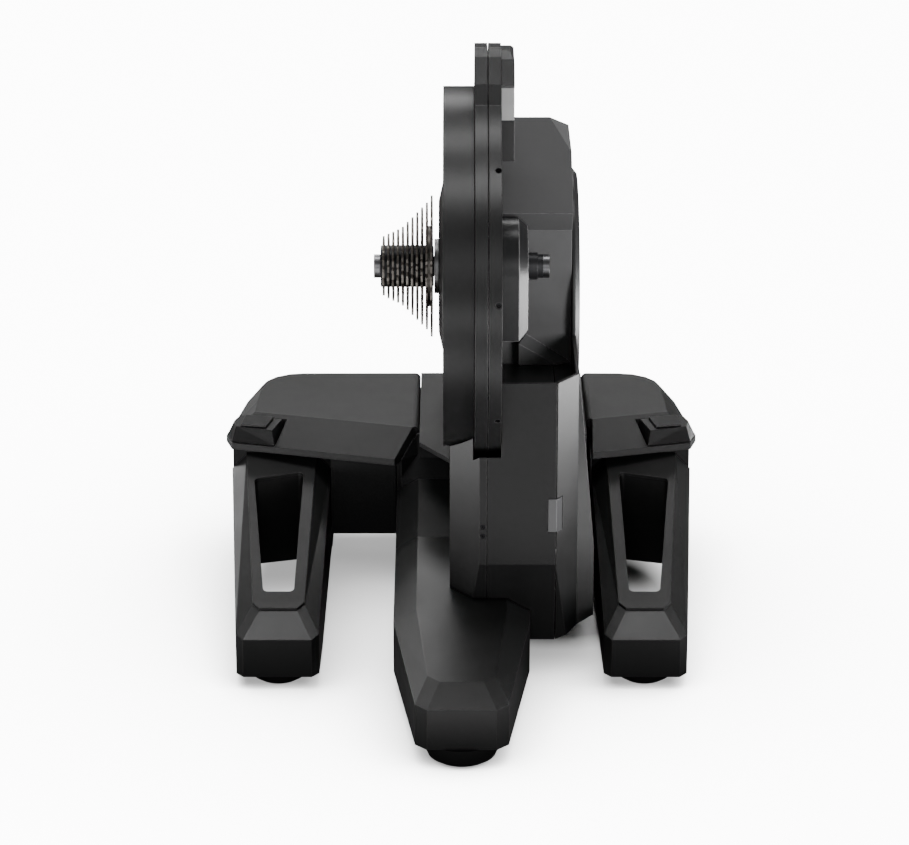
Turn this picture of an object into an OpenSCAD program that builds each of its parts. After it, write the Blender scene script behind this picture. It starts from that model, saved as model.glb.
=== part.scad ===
/* [Axle] */
// Height of the axle above the floor
axle_z = 340; // [330:1:350]
// Width of the axle between the bicycle's dropouts
dropout_w = 148; // [142:1:150]
// Diameter of the hole for the thru-axle
axle_hole_d = 12.1; // [12.05:0.05:12.3]
// Outer diameter of the hollow axle
tube_d = 17; // [16:0.5:18]
// Diameter of the two end caps
cap_d = 20; // [19:0.5:24]
// Length of each end cap
cap_len = 5.4; // [4:0.2:6]
// Diameter of the spacer on the non-drive side
spacer_d = 23; // [21:1:28]
// Length of that spacer
spacer_len = 13; // [11:0.5:14]

/* [Cassette] */
// Distance from one sprocket to the next
sprocket_pitch = 4.05; // [3.8:0.05:4.1]
// Thickness of a sprocket
sprocket_t = 1.8; // [1.4:0.1:2.2]
// Distance from the end cap to the smallest sprocket
lockring_len = 2; // [1.6:0.1:3]
// Diameter of the freehub under the sprockets
freehub_d = 33.2; // [32:0.2:34]
// Outer diameter of the spacers between sprockets
sprocket_spacer_d = 35.4; // [35:0.1:36]
// Diameter of the carrier behind the large sprockets
carrier_d = 68; // [60:1:80]

/* [Pulley cover] */
// Outer diameter of the round cover on the drive side
disc_d = 303; // [296:1:310]
// Distance of its drive-side face from the bicycle's centre plane
disc_left = 15.5; // [14:0.5:16]
// Wall of the cover
cover_wall = 2.6; // [2:0.1:3.5]
// Diameter at the foot of the raised middle
dome_d = 144; // [120:1:160]
// Diameter of the flat top of the raised middle
dome_top_d = 111; // [90:1:118]
// Height of the raised middle
dome_h = 3.8; // [2:0.1:4.5]

/* [Belt drive] */
// Radius of the large pulley
pulley_r = 108; // [100:1:112]
// Radius of the small pulley on the flywheel shaft
pinion_r = 13.5; // [12:0.5:16]
// Width of the pulley rims
pulley_w = 16; // [12:1:18]
// Width of the belt
belt_w = 13; // [10:1:15]
// Thickness of the belt
belt_t = 2.4; // [1.6:0.1:3]
// Radius of the tension roller
idler_r = 9; // [7:0.5:10]

/* [Flywheel] */
// Distance of the flywheel shaft behind the axle
fly_back = 130; // [126:1:136]
// Distance of the flywheel shaft below the axle
fly_drop = 63.5; // [58:0.5:68]
// Diameter of the flywheel
fly_d = 188; // [170:1:190]
// Width of the flywheel
fly_w = 44; // [36:1:46]
// Inner diameter of the flywheel's rim
fly_bore_d = 120; // [100:1:130]
// Diameter of the flywheel shaft
shaft_d = 15; // [12:0.5:17]
// Diameter of the round cover beside the flywheel
fly_cover_d = 218; // [210:1:222]
// Thickness of that cover
fly_cover_t = 7; // [5:0.5:9]

/* [Spine] */
// Radius of the spine's shells round the axle
spine_r = 160; // [157:1:164]
// Overall thickness of the two shells
spine_w = 21.9; // [20:0.1:24]
// Gap along the seam between shells
seam = 0.6; // [0.4:0.1:1]
// Height of the handle's top above the axle
handle_top = 191; // [186:1:196]
// Length of the handle from front to back
handle_len = 104; // [96:1:112]
// Height of the bar that the hand holds
grip_h = 13; // [11:1:15]
// Height of the finger opening
finger_h = 22; // [20:1:24]
// Thickness of the metal plate inside the spine
plate_t = 10; // [8:0.5:12]

/* [Body] */
// Distance of the body's front face in front of the axle
body_front = 103; // [98:1:108]
// Distance of its rear face behind the axle
body_rear = 248; // [240:1:256]
// Height of the body's front edge under the dropout
ledge_z = 271; // [266:1:273]
// Depth of the tray behind that ledge
tray_d = 27; // [20:1:32]
// Height where the front face turns inwards
bend_z = 110; // [104:1:116]
// Wall of the body's covers
body_wall = 3; // [2:0.2:4]
// Distance of the body's right side from the centre plane
body_right = 112; // [110:0.5:112]

/* [Centre leg] */
// Distance of the centre leg's toe in front of the axle
toe_y = 268; // [264:1:268]
// Width of the centre leg
centre_leg_w = 115; // [108:1:118]
// Width of its toe
toe_w = 76; // [68:1:84]
// Height of the underside above the floor
toe_clear = 17; // [14:1:20]
// Diameter of the front foot
front_foot_d = 60; // [50:1:62]

/* [Wings] */
// Half of the footprint's width
half_w = 212; // [206:1:218]
// Distance of the rear edge behind the axle
rear_y = 272; // [268:1:276]
// Height of the wings' flat tops
top_z = 150; // [148:1:153]
// Radius of the rear corners
corner_r = 34; // [28:1:38]
// Distance of the wings' front lip behind the axle at its inner end
lip_start = 84.3; // [83:0.1:86]
// Distance of the flat tops' front edge behind the axle at its inner end
flat_start = 122.5; // [121.5:0.1:124]
// Distance of the left hinge from the centre plane
hinge_left = 42.5; // [42:0.1:43]
// Distance of the right hinge from the centre plane
hinge_right = 117.2; // [117:0.1:118]
// Radius of the hinge pins
pin_r = 2; // [1.5:0.1:2.2]
// Radius of the hinge knuckles
knuckle_r = 3.4; // [3:0.1:3.4]
// Wall of the wings and legs
wing_wall = 4; // [3:0.5:5]

/* [Side legs] */
// Distance of the side legs' toes in front of the axle
side_toe = 114; // [108:1:118]
// Height of their underside
side_clear = 12; // [10:1:14]
// Distance of the inner side from the centre plane
leg_in = 120.6; // [119:0.1:122]
// Width of the toe
leg_toe_w = 70; // [66:1:74]
// Diameter of the side legs' feet
side_foot_d = 50; // [42:1:54]

/* [Buttons] */
// Width of a release button
button_w = 24; // [20:1:24]
// Depth of a release button
button_d = 24; // [20:1:24]
// Travel of a release button
button_travel = 4; // [2:0.5:4.5]

/* [Hidden] */

$fn = 96;
eps = 0.01;
run_gap = 0.05;
press_gap = 0.02;
body_gap = 0.4;
rear_split = 155;

axle_end = dropout_w / 2;
tube_end = axle_end - cap_len;
tube_r = tube_d / 2;
hole_r = axle_hole_d / 2;
fly_z = axle_z - fly_drop;

teeth = [11, 12, 13, 14, 15, 17, 19, 21, 23, 25, 28];
small_count = 5;
chain_pitch = 12.7;
roller_r = 3.97;
first_sprocket = -tube_end + lockring_len + sprocket_t / 2;
last_sprocket = first_sprocket + sprocket_pitch * (len(teeth) - 1);
freehub_start = first_sprocket - sprocket_t / 2;
freehub_end = last_sprocket + sprocket_t / 2 + 0.9;
freehub_bore_r = 13;
flange_r = 23;
flange_end = -disc_left - dome_h;
flange_start = freehub_end + body_gap;

spine_left = 10.5;
spine_right = spine_left + spine_w;
spine_mid = (spine_left + spine_right) / 2;
plate_left = spine_mid - plate_t / 2;
plate_right = spine_mid + plate_t / 2;
shell_wall = 2.4;
handle_front = -handle_len * 0.42;
handle_back = handle_len * 0.58;
handle_right = 43.4;

pulley_x = -1;
pulley_left = pulley_x - pulley_w / 2;
pulley_right = pulley_x + pulley_w / 2;
pulley_hub_r = 21;
bearing_r = 14;
bearing_w = 8;
belt_gap = 0.3;
belt_angle = atan2(-fly_drop, fly_back);
shaft_dist = norm([fly_back, fly_drop]);
belt_out = belt_gap + belt_t;
wrap_angle = acos((pulley_r - pinion_r) / shaft_dist);
slack_angle = belt_angle - wrap_angle;
slack_mid = [fly_back, -fly_drop] / 2 + (pulley_r + pinion_r + 2 * belt_out) / 2 * [cos(slack_angle), sin(slack_angle)];
idler_at = slack_mid + (idler_r + belt_gap) * [cos(slack_angle), sin(slack_angle)];

housing_left = spine_right + 0.3;
housing_right = 94.2;
fly_left = 42;
fly_right = fly_left + fly_w;
fly_web = 7;
shaft_r = shaft_d / 2;
plate_bearing_r = 16;
stator_hub_r = 24;

front_foot_y = front_foot_d / 2 - rear_y;
boss_bottom = ledge_z + 15.7;
leg_rear = 92;
nose_r = 5;
hinge_z = top_z - nose_r - 0.2;
cover_skin = 3;
lip_z = top_z - 16;
lip_bottom = top_z - 22;
lug_start = 182;
lug_end = 222;
lug_gap = 0.5;
wing_lug = 20;
casting_left = nose_r + 0.5 - hinge_left;
casting_right = hinge_right - nose_r - 0.5;
casting_front = 105;
casting_top = top_z - 4;
front_sweep = 0.286;
beam_side_left = centre_leg_w / 2 + 1;
beam_side_right = hinge_right - 2;
flange_x = beam_side_left - 0.9;
button_proud = 2.4;
leg_root = 126;
latch_bottom = lip_z + 0.3;
latch_top = top_z - 2.2;
button_h = 6;
pocket_d = button_h + button_travel + 1;
beam_bottom = 55;
rail_bottom = 34;

// Extrudes a side view, drawn as y and z, from one x to another
module side_slab(x0, x1) {
  translate([x0, 0, 0]) rotate([90, 0, 90]) linear_extrude(x1 - x0) children();
}

// Extrudes a front view, drawn as x and z, from one y to another
module front_slab(y0, y1) {
  translate([0, y1, 0]) rotate([90, 0, 0]) linear_extrude(y1 - y0) children();
}

// Extrudes a plan, drawn as x and y, from one height to another
module plan_slab(z0, z1) {
  translate([0, 0, z0]) linear_extrude(z1 - z0) children();
}

// A rod along x, centred on the axle unless placed elsewhere
module rod(x0, x1, r, y = 0, z = axle_z) {
  translate([x0, y, z]) rotate([0, 90, 0]) cylinder(h = x1 - x0, r = r);
}

// A tube along x
module ring(x0, x1, r_out, r_in, y = 0, z = axle_z) {
  difference() {
    rod(x0, x1, r_out, y, z);
    rod(x0 - 1, x1 + 1, r_in, y, z);
  }
}

// Places what is inside on the flywheel's shaft line, turned so that +Z runs along x
module on_shaft(x = 0) {
  translate([x, fly_back, fly_z]) rotate([0, 90, 0]) children();
}

// Joins rings of points into one closed solid. Each ring runs counter-clockwise from above and
// starts at its front left point, so that points pair up across its width
module loft(rings) {
  n = len(rings[0]);
  last = (len(rings) - 1) * n;
  sides = [for (k = [0:len(rings) - 2], i = [0:n - 1])
    [k * n + i, (k + 1) * n + i, (k + 1) * n + (i + 1) % n, k * n + (i + 1) % n]];
  below = [for (j = [0:n / 2 - 2]) [(n - j) % n, j + 1, j + 2, n - j - 1]];
  above = [for (f = below) [for (i = [3:-1:0]) f[i] + last]];
  polyhedron(points = [for (r = rings, p = r) p], faces = concat(sides, below, above));
}

// Outline of two circles and the band round them, the first on the axle
module belt_outline(r_big, r_small) {
  a = acos((r_big - r_small) / shaft_dist);
  far = [fly_back, -fly_drop];
  translate([0, axle_z]) {
    circle(r_big);
    translate(far) circle(r_small);
    up = [cos(belt_angle + a), sin(belt_angle + a)];
    down = [cos(belt_angle - a), sin(belt_angle - a)];
    polygon([[0, 0], r_big * down, far + r_small * down, far, far + r_small * up, r_big * up]);
  }
}

// Side view of the spine's shells, with the handle on top
module spine_outline(grow = 0) {
  belt_outline(spine_r + grow, 34 + grow);
  z = axle_z + handle_top + grow;
  front = handle_front - grow;
  back = handle_back + grow;
  polygon([[0, axle_z], [front - 26, axle_z + 136], [front - 6, z - 42], [front, z - 22], [front + 20, z - 4],
    [-8, z], [16, z - 2], [back - 22, z - 10], [back - 6, z - 24], [back + 4, z - 52], [back + 20, axle_z + 120]]);
}

// Side view of the finger opening under the handle's bar
module finger_outline() {
  r = finger_h / 2;
  z = axle_z + handle_top - grip_h - r - 3;
  front = handle_front + 12 + r;
  back = handle_back - 22 - r;
  translate([front, z]) circle(r);
  translate([back, z]) circle(r);
  translate([front, z - r]) square([back - front, finger_h]);
}

// Side view of the metal plate that carries the axle and the flywheel's shaft
module plate_outline(grow = 0) {
  translate([0, axle_z]) circle(36 + grow);
  translate([fly_back, fly_z]) circle(28 + grow);
  polygon([[-30 - grow, axle_z - 12], [110 - grow, casting_top], [236 + grow, casting_top],
    [fly_back + 27 + grow, fly_z], [fly_back, fly_z + 27 + grow], [12, axle_z + 35 + grow]]);
}

// Plan of the body, shrunk by w on every side
module body_plan(w = 0) {
  offset(delta = -w) polygon([[-10, -74], [14.7, -body_front], [79, -body_front], [97.5, -78],
    [body_right, -73], [body_right, body_rear - 20], [96, body_rear], [10, body_rear], [-10, body_rear - 24]]);
}

// The body as one solid block, shrunk by w on every side
module body_block(w = 0) {
  intersection() {
    plan_slab(20, 300) body_plan(w);
    front_slab(-150, 300) offset(delta = -w) polygon([[-10, 77], [38, 77], [57, 64], [58, 36], [79, 36],
      [body_right, 52], [body_right, 115], [98, ledge_z], [-10, ledge_z]]);
    side_slab(-50, body_right + 30) offset(delta = -w) polygon([[15 - body_front, 30], [body_rear, 30],
      [body_rear, 190], [200, ledge_z], [-body_front, ledge_z], [-body_front, bend_z]]);
  }
}

// Everything that the body's covers stay clear of
module body_cuts() {
  side_slab(-disc_left - 5, spine_left) cover_outline(2);
  side_slab(plate_left - body_gap, plate_right + body_gap) plate_outline(body_gap);
  side_slab(spine_left - 1, spine_right + body_gap) spine_outline(9);
  centre_leg_block(body_gap);
  plan_slab(0, top_z + 0.3) translate([-60, casting_front - 0.4]) square([200, 300]);
  side_slab(housing_left - body_gap, housing_right + body_gap) offset(delta = body_gap) housing_outline();
  on_shaft(housing_left) cylinder(h = 120, r = fly_cover_d / 2 + body_gap);
  translate([72, -body_front - 5, 139.5]) cube([12.2, 30, 29.7]);
}

module body_shell() {
  difference() {
    body_block();
    difference() {
      union() {
        body_block(body_wall);
        translate([0, 0, -30]) intersection() {
          body_block(body_wall);
          translate([-50, -60, 0]) cube([200, 400, 140]);
        }
      }
      translate([housing_right - body_wall, 10, 0]) cube([60, 400, 400]);
      plan_slab(ledge_z - tray_d - body_wall, 400) body_plan(body_wall);
    }
    body_cuts();
    plan_slab(ledge_z - tray_d, 400) intersection() {
      body_plan(body_wall);
      translate([spine_right, -150]) square([housing_right + 0.6 - spine_right, 151 + 30]);
    }
  }
}

module body_left_cover() {
  color("#2b2b2c") difference() {
    intersection() {
      body_shell();
      union() {
        translate([-20, -150, 0]) cube([20 + spine_mid - seam, 500, 400]);
        translate([-20, rear_split, 0]) cube([20 + housing_left - body_gap, 300, 400]);
      }
    }
    body_screw_places() cylinder(h = 40, r = 2.4, center = true);
  }
}

module body_front_cover() {
  color("#262627") intersection() {
    body_shell();
    translate([spine_mid, -150, 0]) cube([79 - seam / 2 - spine_mid, 150 + casting_front, 400]);
  }
}

module body_side_cover() {
  color("#3a3a3b") intersection() {
    body_shell();
    translate([79 + seam / 2, -150, 0]) cube([60, 500, 400]);
  }
}

module status_window() {
  color("#6f7072") intersection() {
    difference() {
      body_block(-0.4);
      body_block(body_wall - 0.4);
    }
    translate([72.3, -body_front - 5, 139.8]) cube([11.6, 30, 29.1]);
  }
}

// Places the small screws on the body's left strip
module body_screw_places() {
  for (z = [136, 144]) translate([17.6, -body_front, z]) rotate([90, 0, 0]) children();
}

module body_screws() {
  color("#8a8a8c") body_screw_places() translate([0, 0, -5.4]) difference() {
    cylinder(h = 5, r = 2.3);
    translate([0, 0, 3.6]) cylinder(h = 3, r = 1.2, $fn = 6);
  }
}

// One ring of the centre leg: half widths, and heights at the toe, front, middle and back
function centre_ring(w, toe_half, y0, z) = [
  [-toe_half + 10, -y0, z[0]], [toe_half - 10, -y0, z[0]], [toe_half, 10 - y0, z[1]],
  [w, -113, z[2]], [w, 20, z[3]], [w, leg_rear, z[4]],
  [-w, leg_rear, z[4]], [-w, 20, z[3]], [-w, -113, z[2]], [-toe_half, 10 - y0, z[1]]];

// The centre leg as one solid, grown by g
module centre_leg_block(g = 0, bottom = toe_clear) {
  half = centre_leg_w / 2 + g;
  toe = toe_w / 2 + g;
  ridge = [52 + g, 52.7 + g, 62.6 + g, 74.6 + g, 102.4 + g];
  plateau = [62 + g, 62.9 + g, 74 + g, 86 + g, 112.7 + g];
  loft([
    centre_ring(half, toe, toe_y + g, [for (z = ridge) bottom - g]),
    centre_ring(half, toe, toe_y + g, ridge),
    centre_ring(half - 19.5, toe - 10, toe_y - 33 + g, plateau)
  ]);
}

module centre_leg() {
  color("#303031") difference() {
    centre_leg_block();
    difference() {
      centre_leg_block(-wing_wall, toe_clear - 8);
      translate([0, front_foot_y, 0]) cylinder(h = 80, r = front_foot_d / 2 - 7);
    }
  }
}

// A rubber foot that stands on the floor
module foot(d, h) {
  rotate_extrude() polygon([[0, 0], [d / 2 - 8, 0], [d / 2 - 2.5, 3.5], [d / 2, 9], [d / 2, h], [0, h]]);
}

module front_foot() {
  color("#151515") translate([0, front_foot_y, 0]) foot(front_foot_d, toe_clear);
}

// One ring of the riser, which joins the centre leg's rear end to the base
function riser_ring(ax, ay, by, z) = [
  [ax, ay, z], [-38.5, by, z], [-11, by, z], [-11, 122, z], [casting_left, 122, z], [-40.3, 117.6, z]];

module riser() {
  front = leg_rear + 0.3;
  loft([
    riser_ring(-53.8, front, front, 40),
    riser_ring(-53.8, front, front, 112.7),
    riser_ring(-53.8, front, 106.9, 130.5),
    riser_ring(-41.1, 116.2, 117.6, casting_top - 0.3)
  ]);
  plan_slab(40, 76) translate([-40, front]) square([78, casting_front + 2 - front]);
}

// A lug of the base at a hinge, drawn on the +x side. Its arm comes from below, clear of the wing's nose
module base_lug(hinge, side) {
  arm = hinge + knuckle_r;
  translate([hinge, lug_end, hinge_z]) rotate([90, 0, 0]) cylinder(h = lug_end - lug_start, r = knuckle_r);
  translate([hinge + 0.3, lug_start, hinge_z - 12]) cube([knuckle_r - 0.3, lug_end - lug_start, 12]);
  translate([side - 2, lug_start, hinge_z - 12]) cube([arm - side + 2, lug_end - lug_start, 12 - nose_r - 0.5]);
}

module base_casting() {
  color("#242425") difference() {
    union() {
      plan_slab(40, casting_top) translate([casting_left, casting_front])
        square([casting_right - casting_left, 262 - casting_front]);
      plan_slab(40, lip_bottom - 0.5) translate([-flange_x, casting_front])
        square([flange_x, 262 - casting_front]);
      plan_slab(40, hinge_z - nose_r - 0.5) translate([-flange_x, 134]) square([flange_x, 262 - 134]);
      on_left() base_lug(hinge_left, -casting_left);
      base_lug(hinge_right, casting_right);
      riser();
    }
    for (x = [casting_left + 6, 45]) {
      plan_slab(30, casting_top - 8) translate([x, casting_front + 8]) square([60, 262 - casting_front - 16]);
    }
    plan_slab(30, lip_bottom - 8.5) translate([6 - flange_x, casting_front + 8])
      square([flange_x + casting_left + 1, 262 - casting_front - 16]);
    hinge_lines() cylinder(h = 400, r = pin_r + press_gap, center = true);
  }
}

// Places what is inside along both hinge lines
module hinge_lines() {
  for (x = [-hinge_left, hinge_right]) translate([x, (lug_start + lug_end) / 2, hinge_z]) rotate([90, 0, 0]) children();
}

module hinge_pins() {
  length = lug_end - lug_start + 2 * (lug_gap + wing_lug);
  color("#9a9a9c") hinge_lines() cylinder(h = length, r = pin_r, center = true);
}

module base_top_plate() {
  color("#3c3c3d") difference() {
    plan_slab(casting_top, top_z) polygon([[casting_left - 0.1, 85], [-10.6, 43.5], [-10.6, casting_front],
      [casting_right + 0.1, casting_front], [casting_right + 0.1, rear_y], [casting_left - 0.1, rear_y]]);
    translate([plate_left - 0.3, 100, 0]) cube([plate_t + 0.6, 140, 300]);
  }
}

module frame_plate() {
  color("#6d6e70") difference() {
    union() {
      side_slab(plate_left, plate_right) plate_outline();
      rod(spine_left + 3, spine_right - 0.3, 20);
    }
    rod(-50, 100, tube_r + press_gap);
    rod(0, 60, plate_bearing_r + press_gap, fly_back, fly_z);
    side_slab(0, 60) {
      translate([85, 240]) circle(16);
      translate([160, 205]) circle(20);
      translate([60, 300]) circle(14);
    }
  }
}

// The hollow shell of the spine between two planes
module spine_body(x0, x1) {
  difference() {
    side_slab(x0, x1) spine_outline();
    side_slab(spine_left + shell_wall, spine_right - shell_wall) difference() {
      spine_outline(-shell_wall);
      offset(delta = shell_wall) finger_outline();
    }
    side_slab(0, 60) finger_outline();
    side_slab(plate_left - 0.3, plate_right + 0.3) plate_outline(0.3);
    rod(0, 60, 20.3);
    rod(0, 60, plate_bearing_r - 4, fly_back, fly_z);
    rod(0, spine_mid, 3.8, idler_at[0], axle_z + idler_at[1]);
    spine_screw_places() cylinder(h = 12, r = 2.4, center = true);
  }
}

// Places the screws round the front of the spine's rim
module spine_screw_places() {
  for (a = [46, 6, -35]) translate([spine_right - 2.9, 0, axle_z]) rotate([90 - a, 0, 0])
    translate([0, 0, spine_r]) children();
}

module spine_left_shell() {
  color("#38383a") spine_body(spine_left, spine_mid - seam / 2);
}

// The raised part of the right shell beside the handle
module handle_block() {
  z = axle_z + handle_top;
  front = handle_front;
  difference() {
    side_slab(spine_right - eps, handle_right) polygon([[front + 1, z - 23], [front + 20, z - 6], [-8, z - 2],
      [16, z - 4], [handle_back - 22, z - 12], [handle_back - 8, z - 26], [handle_back, z - 62],
      [handle_back - 6, z - 90], [front + 10, z - 90], [front + 10, z - 28]]);
    side_slab(0, 60) finger_outline();
    translate([handle_right - 4, front - 20, z - 2]) rotate([0, 62, 0]) cube([20, 150, 20]);
    handle_inlay_space(0.2);
    side_slab(housing_left - 1, 120) offset(delta = 0.4) housing_outline();
  }
}

module handle_inlay_space(grow = 0) {
  z = axle_z + handle_top;
  front = handle_front + 10;
  translate([spine_right - grow, front - 0.3, z - 55 - grow]) cube([11.5 + grow, 4 + grow + 0.3, 33 + 2 * grow]);
}

module spine_right_shell() {
  color("#4a4a4c") {
    spine_body(spine_mid + seam / 2, spine_right);
    handle_block();
  }
}

module handle_inlay() {
  color("#b8b8b8") intersection() {
    handle_inlay_space();
    translate([0, -100, 0]) cube([handle_right - 0.2, 200, 700]);
  }
}

module spine_screws() {
  color("#1c1c1d") spine_screw_places() translate([0, 0, -6]) difference() {
    cylinder(h = 4.4, r = 2.3);
    translate([0, 0, 3]) cylinder(h = 3, r = 1.2, $fn = 6);
  }
}

// Side view of the pulley cover, with the lobe over the small pulley
module cover_outline(grow = 0) {
  belt_outline(disc_d / 2 + grow, pinion_r + 9 + grow);
}

module pulley_cover() {
  color("#2e2e2f") difference() {
    side_slab(-disc_left, spine_left - 0.3) cover_outline();
    side_slab(cover_wall - disc_left, spine_left) cover_outline(-cover_wall);
    rod(-40, 10, dome_d / 2 - 6);
  }
}

module pulley_cover_dome() {
  color("#2e2e2f") difference() {
    translate([-disc_left, 0, axle_z]) rotate([0, -90, 0]) rotate_extrude() polygon([[flange_r + 1, 0],
      [dome_d / 2 - 6.3, 0], [dome_d / 2 - 6.3, 0.1], [dome_d / 2, 0.1], [dome_top_d / 2, dome_h],
      [flange_r + 1, dome_h]]);
    translate([-disc_left, 0, axle_z]) rotate([0, -90, 0]) rotate_extrude() polygon([[0, -1],
      [dome_d / 2 - 10, -1], [dome_top_d / 2 - 2, dome_h - 2], [0, dome_h - 2]]);
  }
}

// Side view of the flywheel's housing
module housing_outline() {
  polygon([[30, ledge_z - tray_d], [35, 361], [10, 383], [100, 443], [176, 413], [234, 374], [252, 320],
    [252, 190], [236, top_z + 0.3], [30, top_z + 0.3]]);
}

// The sloping sill in front of the housing, at the rear of the tray
module housing_sill() {
  floor = ledge_z - tray_d;
  loft([
    [[49, 20, floor + 0.4], [82, 20, floor + 0.4], [housing_right, 31, floor + 0.4], [49, 31, floor + 0.4]],
    [[49, 20, floor + 20], [82, 20, floor + 0.8], [housing_right, 33, floor + 2.5], [56.5, 33, floor + 26]]
  ]);
}

module flywheel_housing() {
  color("#333334") {
    housing_sill();
    housing_shell();
  }
}

module housing_shell() {
  difference() {
    intersection() {
      side_slab(housing_left, housing_right) housing_outline();
      front_slab(0, 300) polygon([[housing_left, top_z], [housing_right, top_z], [housing_right, 421],
        [76, 443], [housing_left, 443]]);
    }
    intersection() {
      side_slab(housing_left + shell_wall, housing_right - shell_wall) offset(delta = -shell_wall) housing_outline();
      front_slab(0, 300) polygon([[housing_left, top_z], [housing_right, top_z], [housing_right - 2, 418],
        [74, 440], [housing_left, 440]]);
    }
    rod(0, 60, plate_bearing_r, fly_back, fly_z);
    power_place() cylinder(h = 30, r = 7.1, center = true);
  }
}

module flywheel_cover() {
  r = fly_cover_d / 2;
  color("#1d1d1e") on_shaft(housing_right + 0.3) rotate_extrude() polygon([[0, 0], [r - 1, 0], [r, 1],
    [r, fly_cover_t - 4], [r - 5, fly_cover_t], [r - 26, fly_cover_t], [r - 28, fly_cover_t - 1.2],
    [0, fly_cover_t - 1.2]]);
}

// Side view of the boss behind the non-drive dropout
module boss_outline(r, bottom) {
  translate([0, axle_z]) circle(r);
  translate([-r, bottom]) square([2 * r, axle_z - bottom]);
}

module dropout_boss() {
  color("#4f4f51") difference() {
    union() {
      side_slab(spine_right, 48) boss_outline(41, boss_bottom);
      hull() {
        side_slab(48 - eps, 48) boss_outline(41, boss_bottom);
        side_slab(tube_end - spacer_len - eps, tube_end - spacer_len) boss_outline(34, boss_bottom + 7.8);
      }
    }
    rod(0, 90, tube_r + press_gap);
    side_slab(housing_left - 1, 120) offset(delta = 0.4) housing_outline();
  }
}

module axle_tube() {
  color("#a9a9ab") ring(-tube_end, tube_end, tube_r, hole_r);
}

module drive_end_cap() {
  color("#8d8d8f") ring(-axle_end, -tube_end, cap_d / 2, hole_r);
}

module non_drive_end_cap() {
  color("#b4b4b6") ring(tube_end, axle_end, cap_d / 2, hole_r);
}

module non_drive_spacer() {
  color("#1b1b1c") {
    ring(tube_end - spacer_len, tube_end - 4.6, spacer_d / 2, tube_r + press_gap);
    ring(tube_end - 4.6, tube_end, cap_d / 2, tube_r + press_gap);
  }
}

// A ball bearing drawn as its outer size
module bearing(x, r_out, r_in, y = 0, z = axle_z) {
  ring(x, x + bearing_w, r_out, r_in, y, z);
}

module pulley_bearings() {
  color("#a0a0a2") for (x = [flange_start + 1, pulley_right + 1 - bearing_w]) {
    bearing(x, bearing_r - run_gap, tube_r + press_gap);
  }
}

module freehub_bearings() {
  color("#a0a0a2") for (x = [freehub_start + 2, freehub_end - 2 - bearing_w]) {
    bearing(x, freehub_bore_r - run_gap, tube_r + press_gap);
  }
}

module flywheel_bearings() {
  color("#a0a0a2") {
    bearing(spine_mid - bearing_w / 2, plate_bearing_r, shaft_r + run_gap, fly_back, fly_z);
    bearing(fly_right - 6, 12, shaft_r + run_gap, fly_back, fly_z);
  }
}

module drive_belt() {
  color("#111111") side_slab(pulley_x - belt_w / 2, pulley_x + belt_w / 2) difference() {
    belt_outline(pulley_r + belt_out, pinion_r + belt_out);
    belt_outline(pulley_r + belt_gap, pinion_r + belt_gap);
  }
}

module tension_arm() {
  y = idler_at[0];
  z = axle_z + idler_at[1];
  color("#7c7d80") {
    rod(pulley_left, plate_left - 0.2, 3, y, z);
    side_slab(spine_left + shell_wall + 0.2, plate_left - 0.2) difference() {
      translate([y, z]) circle(11);
      translate([y, z]) circle(3);
    }
  }
}

module circuit_board() {
  color("#2f4a38") {
    front_slab(12 - body_front, 13.6 - body_front) translate([38, 122]) square([28, 80]);
    for (x = [42, 62], z = [127, 197]) translate([x, 12 - body_front, z]) rotate([90, 0, 0])
      cylinder(h = 12 - body_wall, r = 2.4);
    front_slab(13.6 - body_front, 20 - body_front) translate([44, 150]) square([16, 16]);
  }
}

// Places the power socket in the housing's rear wall
module power_place() {
  translate([62, 250, 215]) rotate([-90, 0, 0]) children();
}

module power_inlet() {
  color("#0f0f10") power_place() difference() {
    union() {
      translate([0, 0, 2]) cylinder(h = 2, r = 9.5);
      translate([0, 0, -16]) cylinder(h = 18, r = 7);
    }
    difference() {
      translate([0, 0, -8]) cylinder(h = 20, r = 4);
      translate([0, 0, -8]) cylinder(h = 11, r = 1.1);
    }
  }
}

module brake_stator() {
  lobes = 12;
  color("#8a4b2a") on_shaft(fly_left + 12) difference() {
    union() {
      cylinder(h = housing_right - shell_wall - fly_left - 12, r = stator_hub_r);
      cylinder(h = fly_w - 16, r = 44);
      for (i = [0:lobes - 1]) rotate(i * 360 / lobes) translate([40, -7, 3]) cube([15, 14, fly_w - 22]);
    }
    translate([0, 0, -1]) cylinder(h = 80, r = shaft_r + 2);
    translate([0, 0, fly_w - 18]) cylinder(h = 80, r = 12 + press_gap);
  }
}

module drive_pulley() {
  color("#77787a") difference() {
    union() {
      rod(flange_start, pulley_right + 1, pulley_hub_r);
      rod(flange_start, flange_end, flange_r);
      rod(pulley_x - 2, pulley_x + 2, pulley_r - 4);
      ring(pulley_left, pulley_right, pulley_r, pulley_r - 8);
    }
    rod(-60, 60, bearing_r);
    for (i = [0:4]) rotate_x(i * 72) rod(-60, 60, 24, 0, axle_z + 62);
    for (k = [-2:2]) rim_groove(pulley_x + k * 2.5);
  }
}

// Turns what is inside round the axle
module rotate_x(a) {
  translate([0, 0, axle_z]) rotate([a, 0, 0]) translate([0, 0, -axle_z]) children();
}

module rim_groove(x) {
  ring(x - 0.5, x + 0.5, pulley_r + 1, pulley_r - 1.2);
}

module freehub_body() {
  color("#5c5c5e") ring(freehub_start, freehub_end, freehub_d / 2, freehub_bore_r);
}

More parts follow.
